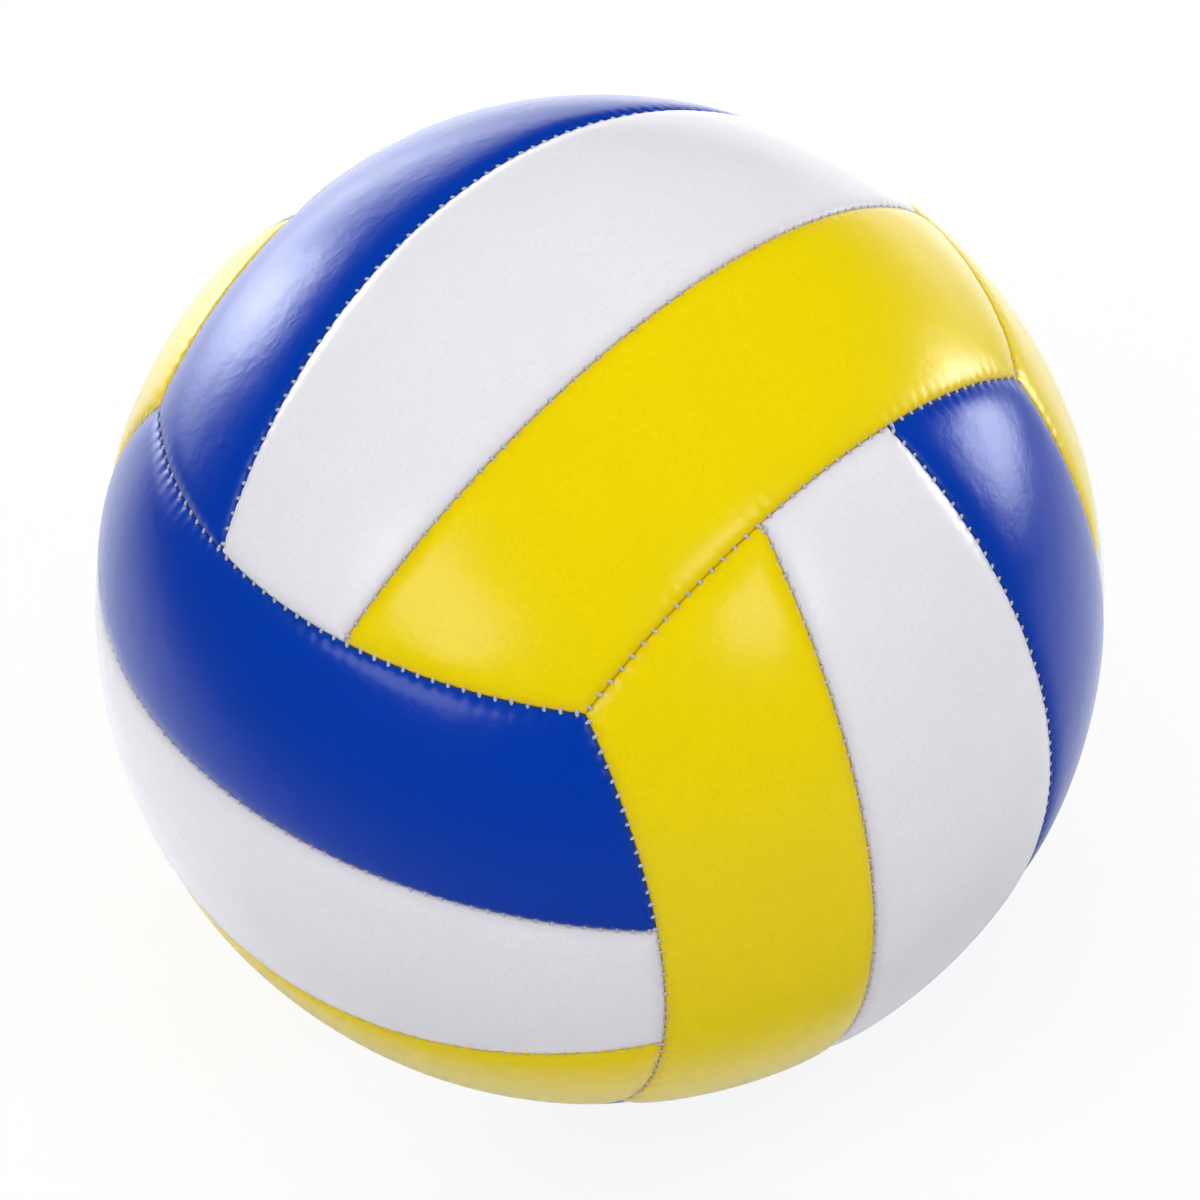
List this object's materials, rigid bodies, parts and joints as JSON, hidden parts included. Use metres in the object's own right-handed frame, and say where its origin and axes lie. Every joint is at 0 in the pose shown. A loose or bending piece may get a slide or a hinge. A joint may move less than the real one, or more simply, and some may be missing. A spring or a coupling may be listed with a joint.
{
  "type": "volleyball",
  "caption": "Machine-stitched volleyball with interlocking groups of foam-backed synthetic leather strips in yellow, white and blue over an inflated bladder with a needle valve.",
  "frame": {"origin": "centre of the ball", "axes": "+Z out of the middle of the top group, +X out of the right group, -Y out of the front group, and +Y along the valve's axis, out of the back group"},
  "size_m": [0.21, 0.2099, 0.21],
  "materials": {
    "yellow_cover": "semi-gloss yellow synthetic leather with fine grain",
    "white_cover": "semi-gloss white synthetic leather with fine grain",
    "blue_cover": "semi-gloss blue synthetic leather with fine grain",
    "foam_backing": "matt closed-cell foam",
    "bladder_rubber": "smooth dull black butyl rubber",
    "valve_rubber": "smooth dull black rubber",
    "thread": "twisted white polyester thread"
  },
  "bodies": {
    "root": {"cover_top_yellow": "yellow_cover", "cover_top_white": "white_cover", "cover_top_blue": "blue_cover", "cover_bottom_blue": "blue_cover", "cover_bottom_white": "white_cover", "cover_bottom_yellow": "yellow_cover", "cover_right_blue": "blue_cover", "cover_right_white": "white_cover", "cover_right_yellow": "yellow_cover", "cover_left_blue": "blue_cover", "cover_left_white": "white_cover", "cover_left_yellow": "yellow_cover", "cover_back_yellow": "yellow_cover", "cover_back_white": "white_cover", "cover_back_blue": "blue_cover", "cover_front_blue": "blue_cover", "cover_front_white": "white_cover", "cover_front_yellow": "yellow_cover", "backing_top_yellow": "foam_backing", "backing_top_white": "foam_backing", "backing_top_blue": "foam_backing", "backing_bottom_blue": "foam_backing", "backing_bottom_white": "foam_backing", "backing_bottom_yellow": "foam_backing", "backing_right_blue": "foam_backing", "backing_right_white": "foam_backing", "backing_right_yellow": "foam_backing", "backing_left_blue": "foam_backing", "backing_left_white": "foam_backing", "backing_left_yellow": "foam_backing", "backing_back_yellow": "foam_backing", "backing_back_white": "foam_backing", "backing_back_blue": "foam_backing", "backing_front_blue": "foam_backing", "backing_front_white": "foam_backing", "backing_front_yellow": "foam_backing", "bladder": "bladder_rubber", "valve_seat": "valve_rubber", "valve_plug": "valve_rubber", "group_stitching_top": "thread", "strip_stitching_top": "thread", "group_stitching_bottom": "thread", "strip_stitching_bottom": "thread", "group_stitching_right": "thread", "strip_stitching_right": "thread", "group_stitching_left": "thread", "strip_stitching_left": "thread", "group_stitching_back": "thread", "strip_stitching_back": "thread", "group_stitching_front": "thread", "strip_stitching_front": "thread"}
  },
  "joints": []
}
